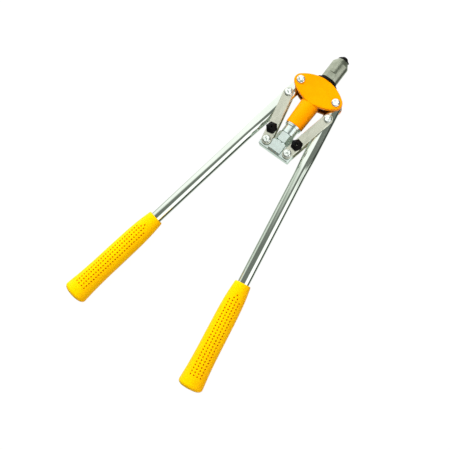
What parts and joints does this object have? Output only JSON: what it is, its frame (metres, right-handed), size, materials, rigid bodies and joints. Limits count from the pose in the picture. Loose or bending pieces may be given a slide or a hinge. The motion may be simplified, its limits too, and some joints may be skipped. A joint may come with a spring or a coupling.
{
  "type": "hand riveter",
  "caption": "Long-arm hand riveter: two levers on a cast head pull a yoke, rod and jaws back from a screwed nosepiece, with spare nosepieces kept on the links.",
  "frame": {"origin": "centre of the fitted nosepiece's front face, on the pulling axis", "axes": "+Y out of the nose along the pulling axis, +X towards the right-hand lever, +Z parallel to the lever pivots, out of the side that carries the spare nosepieces"},
  "size_m": [0.2028, 0.4191, 0.0304],
  "materials": {
    "cast_paint": "amber paint over a die casting",
    "grip_vinyl": "yellow moulded vinyl, satin, dimpled",
    "chrome_tube": "bright chrome plate",
    "brushed_link": "brushed steel plate",
    "zinc_plate": "bright zinc plate",
    "bright_pins": "polished pin heads",
    "nose_steel": "satin turned steel",
    "black_oxide": "black oxide steel",
    "spring_steel": "dark spring steel"
  },
  "bodies": {
    "head": {"head_casting": "cast_paint", "nose_collar": "black_oxide", "nose_sleeve": "nose_steel", "fitted_nosepiece": "black_oxide", "barrel_bush": "zinc_plate", "pivot_pins": "bright_pins", "pivot_pin_rings": "spring_steel"},
    "puller": {"pull_rod": "zinc_plate", "jaw_case": "nose_steel", "lock_nut": "zinc_plate", "lock_washer": "zinc_plate", "yoke_block": "zinc_plate", "yoke_pins": "bright_pins", "yoke_pin_rings": "spring_steel", "jaw_spring": "spring_steel"},
    "jaw_set": {"jaws": "spring_steel", "jaw_pusher": "nose_steel"},
    "left_lever": {"left_lever_tube": "chrome_tube", "left_lever_bush": "zinc_plate", "left_grip": "grip_vinyl"},
    "right_lever": {"right_lever_tube": "chrome_tube", "right_lever_bush": "zinc_plate", "right_grip": "grip_vinyl"},
    "left_link": {"left_upper_link": "brushed_link", "left_lower_link": "brushed_link", "left_link_pin": "bright_pins", "left_link_pin_ring": "spring_steel", "left_spare_nosepiece": "black_oxide"},
    "right_link": {"right_upper_link": "brushed_link", "right_lower_link": "brushed_link", "right_link_pin": "bright_pins", "right_link_pin_ring": "spring_steel", "right_spare_nosepiece": "black_oxide"}
  },
  "joints": [
    {"name": "left_lever_pivot", "type": "hinge", "parent": "head", "child": "left_lever", "pos_m": [-0.025, -0.055, 0], "axis": [0, 0, -1], "range_deg": [-6.6, 36.8]},
    {"name": "right_lever_pivot", "type": "hinge", "parent": "head", "child": "right_lever", "pos_m": [0.025, -0.055, 0], "axis": [0, 0, 1], "range_deg": [-6.7, 36.9]},
    {"name": "pull_slide", "type": "slide", "parent": "head", "child": "puller", "axis": [0, 1, 0], "range_m": [-0.0017, 0.0088]},
    {"name": "left_link_hinge", "type": "hinge", "parent": "puller", "child": "left_link", "pos_m": [-0.015, -0.1356, 0], "axis": [0, 0, 1], "range_deg": [-2.1, 11]},
    {"name": "right_link_hinge", "type": "hinge", "parent": "puller", "child": "right_link", "pos_m": [0.015, -0.1356, 0], "axis": [0, 0, -1], "range_deg": [-2.1, 11]},
    {"name": "jaw_slide", "type": "slide", "parent": "puller", "child": "jaw_set", "axis": [0, -1, 0], "range_m": [0, 0.0025], "stiffness_N_per_m": 1200, "springref_m": -0.002, "deforming": ["jaw_spring"]}
  ],
  "couplings": [
    {"joint": "right_lever_pivot", "follows": "left_lever_pivot", "ratio": 1},
    {"joint": "pull_slide", "follows": "left_lever_pivot", "m_per_rad": 0.0135},
    {"joint": "left_link_hinge", "follows": "left_lever_pivot", "ratio": 0.295},
    {"joint": "right_link_hinge", "follows": "left_lever_pivot", "ratio": 0.295}
  ]
}
